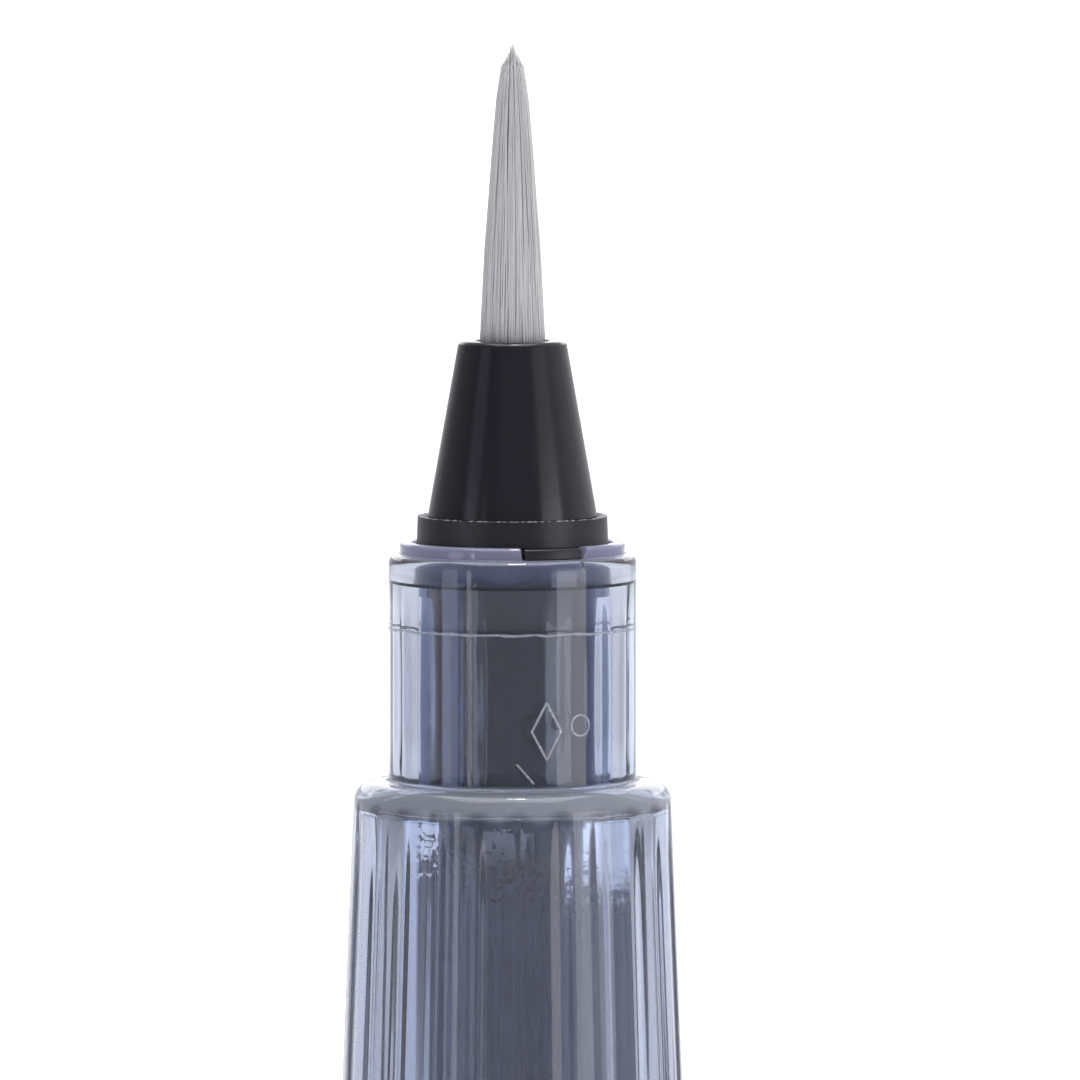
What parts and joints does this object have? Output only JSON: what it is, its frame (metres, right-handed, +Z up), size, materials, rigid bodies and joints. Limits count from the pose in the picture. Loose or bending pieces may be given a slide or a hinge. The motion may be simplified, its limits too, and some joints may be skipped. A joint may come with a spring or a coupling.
{
  "type": "brush pen",
  "caption": "Squeeze-barrel brush pen with clear ribbed section, black nose cone and grey nylon hair, standing tip up on its posted, clipped cap.",
  "frame": {"origin": "centre of the posted cap's flat closed end, which the pen stands on", "axes": "+Z up the pen's axis to the hair tip; -Y towards the clip and the front of the ribbed section; +X to the right seen from the front"},
  "size_m": [0.015, 0.0163, 0.1718],
  "materials": {
    "smoky_clear": "gloss",
    "cap_clear": "gloss",
    "milky": "satin",
    "liner_white": "satin",
    "black_gloss": "gloss",
    "black_satin": "satin",
    "tail_grey": "satin",
    "seal_grey": "satin",
    "black_rubber": "matte",
    "hair": "satin",
    "fibre": "matte",
    "foam": "matte",
    "ink": "gloss",
    "label_film": "satin"
  },
  "bodies": {
    "cap": {"cap_shell": "cap_clear", "cap_liner": "liner_white", "cap_crown": "black_gloss"},
    "clip": {"pocket_clip": "black_gloss"},
    "barrel": {"ink_bottle": "milky", "orifice_plug": "liner_white", "neck_o_ring": "black_rubber", "ink_charge": "ink", "label_sleeve": "label_film", "tail_plug": "tail_grey"},
    "ring": {"seal_ring": "seal_grey"},
    "front": {"section_grip": "smoky_clear", "feed_plug": "black_satin", "damper_sponge": "foam", "feed_wick": "fibre", "collar_ring": "black_satin", "nose_cone": "black_gloss", "hair_root": "hair", "root_retainer": "black_satin"},
    "tuft": {"bristle_tuft": "hair"}
  },
  "joints": [
    {"name": "cap_pull", "type": "slide", "parent": "cap", "child": "barrel", "axis": [0, 0, 1], "range_m": [0, 0.04]},
    {"name": "clip_flex", "type": "hinge", "parent": "cap", "child": "clip", "pos_m": [0, -0.00705, 0.00115], "axis": [1, 0, 0], "range_deg": [0, 4], "stiffness_Nm_per_rad": 0.2},
    {"name": "screw_turn", "type": "hinge", "parent": "barrel", "child": "ring", "pos_m": [0, 0, 0.1113], "axis": [0, 0, 1], "range_deg": [0, 900]},
    {"name": "screw_rise", "type": "slide", "parent": "ring", "child": "front", "axis": [0, 0, 1], "range_m": [0, 0.00501]},
    {"name": "tuft_bend", "type": "hinge", "parent": "front", "child": "tuft", "pos_m": [0, 0, 0.1598], "axis": [0, 1, 0], "range_deg": [-25, 25], "stiffness_Nm_per_rad": 0.001}
  ],
  "couplings": [
    {"joint": "screw_rise", "follows": "screw_turn", "m_per_rad": 0.00031831}
  ]
}
